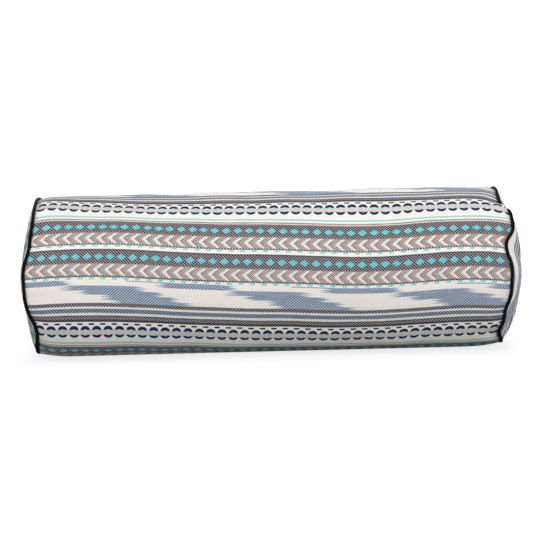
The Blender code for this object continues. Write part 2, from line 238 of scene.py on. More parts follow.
def cloth_wall(name, outer, thickness, weave, closed=False):
    """A sheet of cloth with an outer face, an inner face and closed edges."""
    rows, columns = outer.shape[:2]
    inner = outer - grid_normals(outer, closed) * thickness
    corners = np.concatenate([outer.reshape(-1, 3), inner.reshape(-1, 3)])
    weave = np.concatenate([weave.reshape(-1, 2)] * 2)
    count = rows * columns

    def spot(i, j):
        return i * columns + j % columns

    last = columns if closed else columns - 1
    faces, flat = [], []
    for i in range(rows - 1):
        for j in range(last):
            quad = (spot(i, j), spot(i + 1, j), spot(i + 1, j + 1), spot(i, j + 1))
            faces.append(quad)
            faces.append(tuple(count + c for c in reversed(quad)))
            left, right = j / last, (j + 1) / last
            low, high = 0.86 * i / (rows - 1), 0.86 * (i + 1) / (rows - 1)
            flat.append(((low, left), (high, left), (high, right), (low, right)))
            low, high = 0.99 - 0.11 * i / (rows - 1), 0.99 - 0.11 * (i + 1) / (rows - 1)
            flat.append(((low, right), (high, right), (high, left), (low, left)))
    for i in (0, rows - 1):
        for j in range(last):
            a, b = spot(i, j), spot(i, j + 1)
            faces.append((a, b, b + count, a + count) if i == 0 else (b, a, a + count, b + count))
            strip = (0.865, 0.867) if i == 0 else (0.869, 0.871)
            flat.append(slot_in(strip, j / last, (j + 1) / last))
    if not closed:
        for j in (0, columns - 1):
            for i in range(rows - 1):
                a, b = spot(i, j), spot(i + 1, j)
                faces.append((b, a, a + count, b + count) if j == 0
                             else (a, b, b + count, a + count))
                strip = (0.992, 0.994) if j == 0 else (0.996, 0.998)
                flat.append(slot_in(strip, i / (rows - 1), (i + 1) / (rows - 1)))
    return lay_flat(mesh_from(name, corners, faces, {"weave": weave}), flat)


def ringed_quad(i, j, columns):
    """One face between ring i and the next, in rings of points that close on themselves."""
    n = (j + 1) % columns
    return i * columns + j, (i + 1) * columns + j, (i + 1) * columns + n, i * columns + n


def slot_in(strip, start, end):
    """The four corners of one edge face, in a narrow strip of the flat layout."""
    return (strip[0], start), (strip[0], end), (strip[1], end), (strip[1], start)


def hem_rows(edge, inward, toward, depth, steps):
    """The turned-in hem of a cloth edge: rows that fold towards the middle of the roll."""
    rows = []
    for k in range(1, steps + 1):
        part = k / steps
        turned = edge + inward * depth * part
        turned[:, 0] += toward * 0.0012 * math.sin(min(1, part * 3) * math.pi / 2)
        rows.append(turned)
    return np.stack(rows)


# ---------------------------------------------------------------- materials
def dye(red, green, blue):
    """A cloth colour given as 0 to 255, as Blender's linear colour."""
    return tuple((c / 255 / 12.92) if c <= 10 else ((c / 255 + 0.055) / 1.055) ** 2.4
                 for c in (red, green, blue)) + (1.0,)


class Strand:
    """A socket in a material: sums written with strands add Math nodes."""

    def __init__(self, bench, socket):
        self.bench, self.socket = bench, socket

    def sum(self, operation, *others, clamp=False, first=None):
        values = ((self,) + others) if first is None else ((first, self) + others)
        return self.bench.fit("ShaderNodeMath", {"operation": operation, "use_clamp": clamp},
                              dict(enumerate(values)))

    def __add__(self, other):
        return self.sum("ADD", other)

    def __radd__(self, other):
        return self.sum("ADD", other)

    def __sub__(self, other):
        return self.sum("SUBTRACT", other)

    def __rsub__(self, other):
        return self.sum("SUBTRACT", first=other)

    def __mul__(self, other):
        return self.sum("MULTIPLY", other)

    def __rmul__(self, other):
        return self.sum("MULTIPLY", other)

    def __truediv__(self, other):
        return self.sum("DIVIDE", other)

    def __rtruediv__(self, other):
        return self.sum("DIVIDE", first=other)

    def __abs__(self):
        return self.sum("ABSOLUTE")

    def most(self, other):
        return self.sum("MAXIMUM", other)

    def whole(self):
        return self.sum("FLOOR")

    def over(self, period):
        """What is left after whole repeats of period."""
        return self.sum("FLOORED_MODULO", period)

    def round_about(self, period):
        """Distance from the nearest repeat, from minus to plus half a period."""
        return self.sum("WRAP", period / 2, -period / 2)

    def rising(self, at, soft):
        """0 below at, 1 above it, with a soft edge."""
        return self.sum("MULTIPLY_ADD", 1 / soft, 0.5 - at / soft, clamp=True)

    def falling(self, at, soft):
        return self.sum("MULTIPLY_ADD", -1 / soft, 0.5 + at / soft, clamp=True)

    def between(self, low, high):
        return self.sum("COMPARE", (low + high) / 2, (high - low) / 2)

    def swing(self, period, turn=0.0):
        """A cosine wave of the given period."""
        return self.sum("MULTIPLY_ADD", 2 * math.pi / period, turn).sum("COSINE")


class Bench:
    """Builds one material. fit() adds any node: its type, its settings, then its sockets."""

    def __init__(self, name):
        self.material = bpy.data.materials.new(name)
        self.material.use_nodes = True
        self.tree = self.material.node_tree
        self.tree.nodes.clear()

    def fit(self, kind, settings=None, values=None, out=0):
        node = self.tree.nodes.new(kind)
        for key, value in (settings or {}).items():
            if key == "stops":
                self.set_stops(node.color_ramp, value)
            elif key == "ramp":
                node.color_ramp.interpolation = value
            else:
                setattr(node, key, value)
        for key, value in (values or {}).items():
            if isinstance(value, Strand):
                self.tree.links.new(value.socket, node.inputs[key])
            else:
                node.inputs[key].default_value = value
        return node if out is None else Strand(self, node.outputs[out])

    @staticmethod
    def set_stops(ramp, stops):
        while len(ramp.elements) > 1:
            ramp.elements.remove(ramp.elements[-1])
        for number, (place, colour) in enumerate(stops):
            stop = ramp.elements[0] if number == 0 else ramp.elements.new(place)
            stop.position = place
            stop.color = colour

    def mixed(self, share, under, top, way="MIX"):
        return self.fit("ShaderNodeMix", {"data_type": "RGBA", "blend_type": way},
                        {0: share, 6: under, 7: top}, out=2)

    def parts(self, vector):
        node = self.fit("ShaderNodeSeparateXYZ", None, {0: vector}, out=None)
        return [Strand(self, socket) for socket in node.outputs]

    def thread_map(self):
        """The cloth's own map, in millimetres: along the weft and along the warp."""
        x, y, _ = self.parts(self.fit("ShaderNodeUVMap", {"uv_map": "weave"}))
        return x * 1000, y * 1000

    def place(self):
        return self.fit("ShaderNodeTexCoord", out="Object")

    def cloudy(self, vector, scale, detail=3.0, rough=0.55, out=0):
        return self.fit("ShaderNodeTexNoise", {"noise_dimensions": "3D"},
                        {"Vector": vector, "Scale": scale, "Detail": detail,
                         "Roughness": rough}, out=out)

    def joined(self, x, y, z=0.0):
        return self.fit("ShaderNodeCombineXYZ", None, {0: x, 1: y, 2: z})

    def finish(self, height=None, depth=0.0003, strength=0.6, **sockets):
        """The shader and the output. Anything that varies is a strand."""
        values = {key.replace("_", " "): value for key, value in sockets.items()}
        if height is not None:
            values["Normal"] = self.fit("ShaderNodeBump", None,
                                        {"Strength": strength, "Distance": depth,
                                         "Height": height})
        shader = self.fit("ShaderNodeBsdfPrincipled", None, values)
        self.fit("ShaderNodeOutputMaterial", None, {0: shader}, out=None)
        return self.material


# The woven stripes, top to bottom in millimetres: start, light thread, dark thread, dark share.
# The stripe plan: name, width in millimetres, light thread, dark thread, share of dark.
STRIPE_PLAN = [
    ("diamonds", 17, (190, 185, 188), (34, 28, 40), 0.6),
    ("brown_edge", 2.5, (196, 184, 182), (44, 33, 38), 0.57),
    ("arrowheads", 16.5, (228, 213, 207), (76, 55, 51), 0.5),
    ("maroon", 2.5, (214, 202, 196), (66, 34, 34), 0.58),
    ("dashed_cream", 6, (248, 243, 238), (238, 232, 226), 0.3),
    ("dark_line", 2, (170, 165, 168), (24, 18, 28), 0.62),
    ("more_diamonds", 18, (190, 185, 188), (34, 28, 40), 0.59),
    ("more_arrowheads", 16.5, (230, 215, 209), (78, 57, 53), 0.49),
    ("maroon_foot", 2.5, (194, 180, 178), (32, 18, 24), 0.57),
    ("space_dyed", 35, (248, 243, 237), (240, 234, 228), 0.25),
    ("charcoal", 5, (196, 190, 192), (20, 14, 22), 0.6),
    ("ticked", 3, (252, 248, 244), (150, 150, 158), 0.22),
    ("slate", 6.5, (166, 177, 190), (46, 62, 84), 0.52),
    ("more_ticked", 3.5, (252, 248, 244), (150, 150, 158), 0.24),
    ("black_line", 2, (160, 156, 162), (20, 18, 26), 0.58),
    ("herringbone", 4, (186, 183, 188), (34, 32, 40), 0.54),
    ("black_foot", 3.5, (140, 136, 144), (22, 18, 28), 0.64),
    ("black_dashes", 13, (248, 243, 237), (238, 232, 226), 0.3),
    ("hatched", 9, (250, 247, 243), (112, 112, 120), 0.36),
    ("plain_cream", 13.5, (248, 243, 237), (238, 232, 226), 0.3),
    ("teal_line", 3, (170, 220, 217), (134, 204, 202), 0.4),
    ("thin_cream", 3, (248, 243, 237), (238, 232, 226), 0.3),
    ("brown_dots", 2, (236, 222, 212), (70, 34, 20), 0.58),
    ("last_cream", 2, (242, 230, 222), (226, 212, 204), 0.4),
]
STRIPE_EDGES, STRIPES, laid = {}, [], 0.0
for stripe, width, light_thread, dark_thread, dark_share in STRIPE_PLAN:
    STRIPE_EDGES[stripe] = (laid, laid + width)
    STRIPES.append((laid, light_thread, dark_thread, dark_share))
    laid += width
REPEAT = laid / 1000
# Figures in the weave, in millimetres: their pitch, one weft thread, and where they lie.
PITCH = 15.2
PICK = 0.95
FIGURE_PAIR = 45.1
DIAMOND_LINE, ARROW_LINE, DASH_LINE = 10.6, 28.5, 40.1


def woven_cloth():
    """Striped cotton cloth with woven diamonds, arrowheads, dashes and scalloped bands."""
    bench = Bench("woven_striped_cloth")
    u, v = bench.thread_map()
    row = (v / PICK).whole()
    row_noise = bench.fit("ShaderNodeTexWhiteNoise", {"noise_dimensions": "1D"}, {"W": row},
                          out="Value")
    waver = bench.cloudy(bench.joined(u * 0.05, v * 0.35), 1.0, 2.0) - 0.5
    down = (1000 * BAND_TOP - v + waver * 0.9).over(1000 * REPEAT)

    level = down / (1000 * REPEAT)

    def stripe_ramp(shade):
        stops = [(stripe[0] / (1000 * REPEAT), shade(stripe)) for stripe in STRIPES]
        return bench.fit("ShaderNodeValToRGB", {"stops": stops, "ramp": "CONSTANT"}, {0: level})

    light = stripe_ramp(lambda stripe: dye(*stripe[1]))
    dark = stripe_ramp(lambda stripe: dye(*stripe[2]))
    share = stripe_ramp(lambda stripe: (stripe[3],) * 3 + (1,))
    falling_twill = (u / 4.05 + v / 3.8).swing(1.0)
    rising_twill = (u / 4.05 - v / 3.8).swing(1.0)
    lean = 0.62 - 0.40 * down.between(STRIPE_EDGES["space_dyed"][0] + 3.5, STRIPE_EDGES["space_dyed"][1])
    floats = falling_twill * lean + rising_twill * (1 - lean)
    hatch = down.between(*STRIPE_EDGES["hatched"])
    slant = (u + v).swing(3.2)
    fine = u.swing(1.9)
    ticks = down.between(*STRIPE_EDGES["ticked"])
    ticks = ticks.most(down.between(*STRIPE_EDGES["more_ticked"]))
    ticks = ticks.most(down.between(*STRIPE_EDGES["brown_dots"]))
    floats = floats + (slant - floats) * hatch
    floats = floats + (fine - floats) * ticks
    twice = down - FIGURE_PAIR * down.sum("GREATER_THAN", STRIPE_EDGES["dark_line"][0])
    spread = abs(twice - ARROW_LINE)
    bent = (u - spread * 1.2).swing(3.04)
    floats = floats + (bent * 0.75 - floats * 0.75) * twice.between(19.5, 36.2)
    dotted = (floats * 0.36 + 0.5 - (1 - share)).rising(0, 0.16)
    cloth = bench.mixed(dotted, light, dark)

    # The two dark bands carry the same figures, 45 mm apart.
    paired = down.sum("LESS_THAN", 88.0)
    across = abs(u.round_about(PITCH))
    step = (v / PICK + row_noise * 0.8).over(1.0) * 0.12
    diamond = (across / 6.3 + abs(twice - DIAMOND_LINE) / 4.6 + step).falling(1.05, 0.10) * paired
    arm = spread * 1.2 + row_noise * 0.9
    reach = (u + 6.6 - arm + 0.35).over(PITCH)
    arrow = (reach.rising(0.35, 0.7) * (reach + spread * 0.18).falling(6.1, 1.0)
             * spread.falling(7.8, 0.8) * paired)
    behind = (u + 6.6 - arm).over(PITCH)
    notch = behind.rising(5.4, 0.8) * behind.falling(9.0, 3.0) * spread.falling(3.6, 3.0)
    notch = notch * paired
    dash = (abs((u + 6.7 + twice * 0.35 - 14.0).round_about(PITCH)).falling(3.3, 0.9)
            * abs(twice - DASH_LINE).falling(1.6, 0.5) * paired)
    black_dash = (abs((u + 6.2).round_about(PITCH)).falling(3.6, 0.7)
                  * abs(down - (STRIPE_EDGES["black_dashes"][0] + 4)).falling(1.35, 0.4))
    scallop_line = sum(STRIPE_EDGES["hatched"]) / 2
    deep = abs(down - scallop_line)
    bowl = abs((u - 0.8).round_about(PITCH) / 6.3)
    bowl = bowl * bowl
    domed = (deep - 3.9) / (5.8 + 1.0 * down.sum("LESS_THAN", scallop_line))
    hollow = (deep - 3.9) / 1.0
    scallop = ((bowl + domed * domed).falling(1.0, 0.16) * deep.rising(3.9, 0.3)
               * (bowl * 6.0 + hollow * hollow).rising(1.0, 0.6))

    # Space-dyed bars: each runs along the weft, its ends feathered thread by thread.
    bar_middles = ((50, 0.97), (145, 0.95), (170, 0.95), (195, 0.95), (210, 0.90))
    first_bar = STRIPE_EDGES["space_dyed"][0] + 4.5
    bars = [(first_bar + 6.5 * k, *bar) for k, bar in enumerate(bar_middles)]
    bars.append((STRIPE_EDGES["space_dyed"][1], 0.0, 0.0))
    bar_stops = [(0.0, (0, 0, 0, 1))] + [(start / (1000 * REPEAT), (middle / 400, strong, 0, 1))
                                         for start, middle, strong in bars]
    bar = bench.fit("ShaderNodeValToRGB", {"stops": bar_stops, "ramp": "CONSTANT"}, {0: level})
    middle, strong, _ = [Strand(bench, s) for s in bench.fit(
        "ShaderNodeSeparateColor", None, {0: bar}, out=None).outputs]
    feather = (row_noise - 0.5) * 13 + (bench.cloudy(bench.joined(u * 0.02, v * 0.7), 1.0) - 0.5) * 22
    far = abs((u - 72.9 - middle * 400).round_about(218.5)) + feather
    blue = far.falling(46.5, 7.0) * strong
    pale = far.falling(50.5, 9.0) * strong
    tail = down.between(87.6, 88.9) * abs((u - 72.9 - 20).round_about(218.5)).falling(64, 6)
    streak = bench.cloudy(bench.joined(u * 0.045, v * 1.1), 1.0, 4.0, 0.7)

    cloth = bench.mixed(pale * 0.60, cloth, dye(170, 202, 220))
    ikat = bench.mixed(streak.rising(0.5, 0.3), dye(146, 168, 200), dye(212, 223, 237))
    ikat = bench.mixed((floats * 0.5 + 0.5).rising(0.53, 0.24) * 0.94, ikat, dye(24, 36, 76))
    cloth = bench.mixed(blue.most(tail) * 0.95, cloth, ikat)
    cloth = bench.mixed(notch * 0.30, cloth, dye(84, 68, 68))
    stroke = bench.mixed((floats * 0.5 + 0.5) * 0.4, dye(246, 243, 240), dye(196, 188, 182))
    cloth = bench.mixed(arrow * 0.92, cloth, stroke)
    gleam = bench.cloudy(bench.joined(u * 0.22, v * 0.5), 1.0, 2.0).rising(0.52, 0.16)
    teal = bench.mixed((v.swing(1.9) * 0.5 + 0.5) * 0.30, dye(112, 206, 212), dye(62, 164, 178))
    teal = bench.mixed(gleam * 0.45, teal, dye(150, 206, 226))
    cloth = bench.mixed(diamond, cloth, teal)
    cloth = bench.mixed(dash * 0.9, cloth, dye(128, 216, 214))
    cloth = bench.mixed(black_dash, cloth, dye(20, 14, 20))
    navy = bench.mixed((u.swing(1.3) * 0.5 + 0.5) * 0.4, dye(8, 34, 74), dye(48, 84, 122))
    cloth = bench.mixed(scallop, cloth, navy)

    # Single threads: each is a little lighter or darker, and shades off at its sides.
    weft = v.swing(PICK)
    warp = u.swing(0.85)
    tone = 0.94 + (weft * 0.03 + warp * 0.025) + (row_noise - 0.5) * 0.05
    tone = tone + (bench.cloudy(bench.joined(u * 0.9, v * 0.12), 1.0, 2.0) - 0.5) * 0.14
    grey = bench.joined(tone, tone, tone)
    cloth = bench.mixed(1.0, cloth, grey, "MULTIPLY")
    figures = diamond.most(arrow).most(dash).most(scallop).most(black_dash)
    height = weft * 0.22 + warp * 0.18 + dotted * 0.5 + figures * 0.6
    return bench.finish(height, depth=0.00028, strength=0.55, Base_Color=cloth,
                        Roughness=0.88 - figures * 0.10, Sheen_Weight=0.02,
                        Sheen_Roughness=0.5, Specular_IOR_Level=0.12)


def black_cotton():
    """Black bias-cut cotton twill for the piping."""
    bench = Bench("black_piping_cotton")
    u, v = bench.thread_map()
    twill = (u + v * 0.8).swing(0.9)
    fuzz = bench.cloudy(bench.joined(u * 0.6, v * 0.6), 1.0, 4.0, 0.65)
    colour = bench.mixed((twill * 0.5 + 0.5) * 0.6, dye(3, 3, 4), dye(10, 9, 9))
    colour = bench.mixed(fuzz.rising(0.70, 0.2) * 0.3, colour, dye(30, 25, 24))
    return bench.finish(twill * 0.5 + fuzz, depth=0.0002, strength=0.5, Base_Color=colour,
                        Roughness=0.72 + fuzz * 0.2, Specular_IOR_Level=0.14)


def twisted_cotton():
    """Undyed cotton, spun and twisted."""
    bench = Bench("undyed_twisted_cotton")
    fibre = bench.cloudy(bench.place(), 900, 4.0, 0.7)
    colour = bench.mixed(fibre, dye(206, 198, 180), dye(236, 230, 216))
    return bench.finish(fibre, depth=0.0002, strength=0.5, Base_Color=colour,
                        Roughness=0.88, Sheen_Weight=0.1)


def spun_thread():
    """Charcoal sewing thread, its plies wound round each other."""
    bench = Bench("charcoal_sewing_thread")
    x, y, z = bench.parts(bench.place())
    ply = ((x + y + z) * 1000).swing(0.5)
    fibre = bench.cloudy(bench.place(), 1800, 3.0)
    colour = bench.mixed((ply * 0.3 + fibre * 0.7), dye(26, 24, 28), dye(62, 58, 64))
    return bench.finish(ply + fibre, depth=0.00006, strength=0.5, Base_Color=colour,
                        Roughness=0.62)


def tape_weave():
    """Black polyester zip tape, a fine herringbone."""
    bench = Bench("zip_tape_herringbone")
    x, y, z = bench.parts(bench.place())
    bone = (x * 1000 + abs((z * 1000).round_about(4.0)) * 1.2).swing(0.8)
    colour = bench.mixed((bone * 0.5 + 0.5), dye(20, 20, 22), dye(42, 42, 46))
    return bench.finish(bone, depth=0.0001, strength=0.6, Base_Color=colour, Roughness=0.68,
                        Sheen_Weight=0.08)


def coil_nylon():
    """Black nylon of the zip coil: smooth, with a faint grain in its colour and roughness."""
    bench = Bench("black_coil_nylon")
    grain = bench.cloudy(bench.place(), 1500, 2.0)
    colour = bench.mixed(grain, dye(18, 18, 20), dye(34, 34, 37))
    return bench.finish(grain, depth=0.00005, strength=0.3, Base_Color=colour,
                        Roughness=0.36 + grain * 0.12)


def zip_metal():
    """Nickel-plated metal, brushed one way, with small rubs."""
    bench = Bench("nickel_plate")
    x, y, z = bench.parts(bench.place())
    brushed = bench.cloudy(bench.joined(x * 120, y * 2600, z * 2600), 1.0, 3.0)
    rubs = bench.cloudy(bench.place(), 420, 3.0).rising(0.62, 0.15)
    colour = bench.mixed(rubs * 0.5, dye(226, 224, 222), dye(182, 179, 175))
    return bench.finish(brushed, depth=0.00003, strength=0.25, Base_Color=colour,
                        Metallic=1.0, Roughness=0.26 + brushed * 0.12 + rubs * 0.14)


def muslin():
    """Plain unbleached muslin of the inner casing."""
    bench = Bench("unbleached_muslin")
    x, y, z = bench.parts(bench.place())
    weave = (x * 1000).swing(1.1) * ((y + z) * 1000).swing(1.1)
    slub = bench.cloudy(bench.joined(x * 30, y * 260, z * 260), 1.0, 3.0)
    colour = bench.mixed((weave * 0.25 + slub * 0.75), dye(222, 214, 196), dye(240, 235, 222))
    return bench.finish(weave * 0.5 + slub, depth=0.00015, strength=0.5, Base_Color=colour,
                        Roughness=0.9)


def loose_batting():
    """Soft white polyester fibre."""
    bench = Bench("white_fibre_batting")
    strands = bench.cloudy(bench.place(), 160, 6.0, 0.75)
    tufts = bench.cloudy(bench.place(), 38, 3.0, 0.6)
    colour = bench.mixed(strands * 0.6 + tufts * 0.4, dye(228, 228, 224), dye(250, 250, 248))
    return bench.finish(strands + tufts * 1.5, depth=0.0012, strength=0.7, Base_Color=colour,
                        Roughness=0.95, Sheen_Weight=0.2)


WOVEN, BLACK_COTTON, COTTON = woven_cloth(), black_cotton(), twisted_cotton()
TAPE, COIL, METAL, THREAD = tape_weave(), coil_nylon(), zip_metal(), spun_thread()
MUSLIN, BATTING = muslin(), loose_batting()


def dress(piece, material, body="bolster", nodes=()):
    """Gives a finished piece its material, slot and body, and hides the nodes it stands for."""
    piece.data.materials.clear()
    piece.data.materials.append(material)
    if nodes:
        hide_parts(*nodes)
    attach(piece, body)
    return piece


# ---------------------------------------------------------------- cover
def blown_cover(points):
    """The cover's outer face after it has been blown up a little against its filling.

    Both seams, the zip edges and the base are held. The cloth is cut a touch larger than the
    roll, so it puckers at the seams as it fills.
    """
    rows, columns = points.shape[:2]
    count = rows * columns
    faces = [(i * columns + j, (i + 1) * columns + j, (i + 1) * columns + j + 1,
              i * columns + j + 1) for i in range(rows - 1) for j in range(columns - 1)]
    cloth = mesh_from("cover_trial", points.reshape(-1, 3), faces)
    held = cloth.vertex_groups.new(name="held")
    grid = np.arange(count).reshape(rows, columns)
    resting = (points[..., 2] < 0.0012)
    held.add([int(k) for k in np.concatenate([grid[0], grid[-1], grid[:, 0], grid[:, -1],
                                              grid[resting]])], 1.0, "REPLACE")
    cloth.shape_key_add(name="sewn")
    cut = cloth.shape_key_add(name="cut")
    flat = points.reshape(-1, 3).copy()
    flat[:, 0] *= 1 + CUT_SPARE_LENGTH
    flat[:, 1:] = (flat[:, 1:] - (0, AXIS)) * (1 + CUT_SPARE_GIRTH) + (0, AXIS)
    cut.data.foreach_set("co", flat.ravel())
    cut.value = 0
    fill = cloth.modifiers.new("filling", "CLOTH")
    fill.settings.quality = 6
    fill.settings.mass = 0.25
    fill.settings.tension_stiffness = fill.settings.compression_stiffness = 30
    fill.settings.shear_stiffness = 12
    fill.settings.bending_stiffness = 0.6
    fill.settings.vertex_group_mass = "held"
    fill.settings.rest_shape_key = cut
    fill.settings.use_pressure = True
    fill.settings.uniform_pressure_force = 4
    fill.settings.effector_weights.gravity = 0
    fill.collision_settings.use_collision = False
    fill.collision_settings.use_self_collision = False
    fill.point_cache.frame_start, fill.point_cache.frame_end = 1, 20
    scene = bpy.context.scene
    for step in range(1, 21):
        scene.frame_set(step)
    shown = cloth.evaluated_get(bpy.context.evaluated_depsgraph_get())
    moved = np.zeros(count * 3)
    shown.data.vertices.foreach_get("co", moved)
    moved = moved.reshape(points.shape) - points
    scene.frame_set(1)
    bpy.data.objects.remove(cloth)
    outward = grid_normals(points)
    lift = np.sum(moved * outward, axis=-1, keepdims=True)
    kept = np.clip(lift, -MOST_SUNK, MOST_RAISED)
    print("filling: lift from", round(float(lift.min()) * 1000, 2), "to",
          round(float(lift.max()) * 1000, 2), "mm, mean", round(float(lift.mean()) * 1000, 2))
    return outward * kept


def finer(field, rows, columns):
    """A coarse grid of moves spread over a finer one, without corners."""
    row_at = np.linspace(0, field.shape[0] - 1, rows)
    column_at = np.linspace(0, field.shape[1] - 1, columns)

    def spread(values, at):
        low = np.clip(np.floor(at).astype(int), 0, len(values) - 2)
        part = (at - low).reshape((-1,) + (1,) * (values.ndim - 1))
        before = values[np.clip(low - 1, 0, None)]
        after = values[np.clip(low + 2, None, len(values) - 1)]
        a, b = values[low], values[low + 1]
        return a + 0.5 * part * (b - before + part * (2 * before - 5 * a + 4 * b - after
                                                      + part * (3 * (a - b) + after - before)))

    tall = spread(field, row_at)
    return spread(tall.swapaxes(0, 1), column_at).swapaxes(0, 1)


def make_cover():
    """The long panel: a filled tube with its hems turned in at both end seams."""
    points, arc, length = cover_grid(AROUND, ALONG)
    coarse, _, _ = cover_grid(AROUND // 2, ALONG // 2)
    moved = finer(blown_cover(coarse), ALONG + 1, AROUND + 1)
    points = points + moved
    points[..., 2] = np.maximum(points[..., 2], LOWEST_CLOTH)
    centre = MIDDLE
    rows = [points]
    maps_u, maps_arc = [length], [arc]
    for side, sign in SIDES:
        edge = points[0] if sign < 0 else points[-1]
        inward = (centre - edge) * (0, 1, 1)
        inward /= np.linalg.norm(inward, axis=1, keepdims=True)
        hem = hem_rows(edge, inward, -sign * 0.4, HEM, 4)
        lengths = np.stack([(length[0] if sign < 0 else length[-1]) + sign * HEM * k / 4
                            for k in range(1, 5)])
        arcs = np.stack([arc[0] if sign < 0 else arc[-1]] * 4)
        if sign < 0:
            rows.insert(0, hem[::-1])
            maps_u.insert(0, lengths[::-1])
            maps_arc.insert(0, arcs)
        else:
            rows.append(hem)
            maps_u.append(lengths)
            maps_arc.append(arcs)
    outer, x, a = (np.concatenate(part) for part in (rows, maps_u, maps_arc))
    stretch = 0.0230 - 0.0130 * np.clip((a - 0.020) / 0.100, 0, 1)
    weave = np.stack([x * (1 - stretch) - SKEW * a - 0.0015, a - stripe_ride(x, a)], axis=-1)
    return cloth_wall("woven_cover", outer, COVER_CLOTH, weave)


def seam_ring(side, count, inset):
    """Points of an end seam round the bolster, inset from the roll's surface."""
    arc = np.linspace(-UNDER, OVER, count, endpoint=False)
    y, z, out_y, out_z = section(arc)
    x = seam_place(side, arc)
    lifted = inset + BASE_PULL * np.clip(1 - z / BASE_PULL_HEIGHT, 0, 1)
    return np.stack([x, y - out_y * lifted, np.maximum(z - out_z * lifted, 0.0)], -1), arc


def end_row(side, sign, share, rim, arc, under=0.0):
    """A ring of points of a crowned end: share is 1 at the rim and 0 in the middle."""
    centre = np.array([0, 0, AXIS + CROWN_LIFT[side] * (1 - share) * share])
    flat = centre + (rim - MIDDLE) * share
    mean_x = float(np.mean(rim[:, 0]))
    flat[:, 0] = mean_x + (rim[:, 0] - mean_x) * share ** 2.5
    crown = CROWN[side] * (1 - share ** CROWN_POWER[side])
    gather = np.sin(arc / 0.0068 + 2 * sign + 1.5 * np.sin(arc / 0.031))
    crown = crown + 0.0008 * gather * np.clip((1 - share) / 0.05, 0, 1) * share ** 8
    dimple = 0.0009 * np.sin(flat[:, 1] / 0.019 + 1) * np.sin(flat[:, 2] / 0.024)
    flat[:, 0] += sign * (0.0034 + crown + dimple * (1 - share ** 2) - under)
    return flat


# Stripes on the end panels stand upright. First line of the weave at the front edge.
END_WEAVE_START = {"right": 0.0835, "left": 0.1640}


def make_end_panel(side, sign):
    """A crowned disc of the same cloth, gathered a little where it meets the piping."""
    count, rings = 176, 34
    rim, arc = seam_ring(side, count, PANEL_INSET)
    centre = MIDDLE
    rows, weave = [], []
    for k in range(-3, rings):
        if k < 0:
            inward = (centre - rim) * (0, 1, 1)
            inward /= np.linalg.norm(inward, axis=1, keepdims=True)
            row = rim + inward * HEM * (-k / 3)
            row[:, 0] += sign * 0.0030
        else:
            row = end_row(side, sign, (1 - k / rings) ** 0.92, rim, arc)
        rows.append(row)
        down = END_WEAVE_START[side] + (row[:, 1] + RADIUS) * 1.10
        weave.append(np.stack([row[:, 2], BAND_TOP - down], axis=-1))
    return disc_wall("woven_end_" + side, sign, rows, COVER_CLOTH, weave)


def disc_wall(name, sign, rows, thickness, weave=None):
    """A disc of cloth from rings of points, edge first, closed in the middle on both faces."""
    outer = np.stack(rows)
    weave = outer[..., 1:] if weave is None else np.stack(weave)
    if sign < 0:
        outer, weave = outer[:, ::-1], weave[:, ::-1]
    inner = outer - grid_normals(outer, True) * thickness
    rings, columns = outer.shape[:2]
    count = rings * columns
    middle = [outer[-1].mean(axis=0), inner[-1].mean(axis=0)]
    corners = np.concatenate([outer.reshape(-1, 3), inner.reshape(-1, 3), middle])
    maps = np.concatenate([weave.reshape(-1, 2)] * 2 + [weave[-1].mean(axis=0)[None]] * 2)

    def disc(i, j, middle, size):
        reach, turn = size * (1 - i / rings), 2 * math.pi * j / columns
        return middle[0] + reach * math.cos(turn), middle[1] + reach * math.sin(turn)

    big, small = ((0.445, 0.445), 0.44), ((0.94, 0.06), 0.05)
    faces, flat = [], []
    for i in range(rings - 1):
        for j in range(columns):
            quad = ringed_quad(i, j, columns)
            faces.append(quad)
            faces.append(tuple(count + c for c in reversed(quad)))
            around = ((i, j), (i + 1, j), (i + 1, j + 1), (i, j + 1))
            flat.append([disc(*spot, *big) for spot in around])
            flat.append([disc(*spot, *small) for spot in reversed(around)])
    for j in range(columns):
        n = (j + 1) % columns
        faces.append((j, n, count + n, count + j))
        flat.append(slot_in((0.93, 0.96), j / columns, (j + 1) / columns))
        flat[-1] = [(along, 0.13 + 0.86 * up) for along, up in flat[-1]]
        a, b = (rings - 1) * columns + j, (rings - 1) * columns + n
        faces.append((b, a, 2 * count))
        faces.append((count + a, count + b, 2 * count + 1))
        for whole, backward in ((big, True), (small, False)):
            pair = [disc(rings - 1, j, *whole), disc(rings - 1, j + 1, *whole)]
            flat.append((pair[::-1] if backward else pair) + [whole[0]])
    return lay_flat(mesh_from(name, corners, faces, {"weave": maps}), flat)


# ---------------------------------------------------------------- inner cushion
def inner_ring(side, sign, inset, back, count=120):
    """A ring inside the roll, near an end: inset from the surface, back from the seam."""
    ring, arc = seam_ring(side, count, inset)
    ring[:, 0] -= sign * back
    ring[:, 2] = np.maximum(ring[:, 2], 0.0009 + inset * 0.2)
    return ring, arc


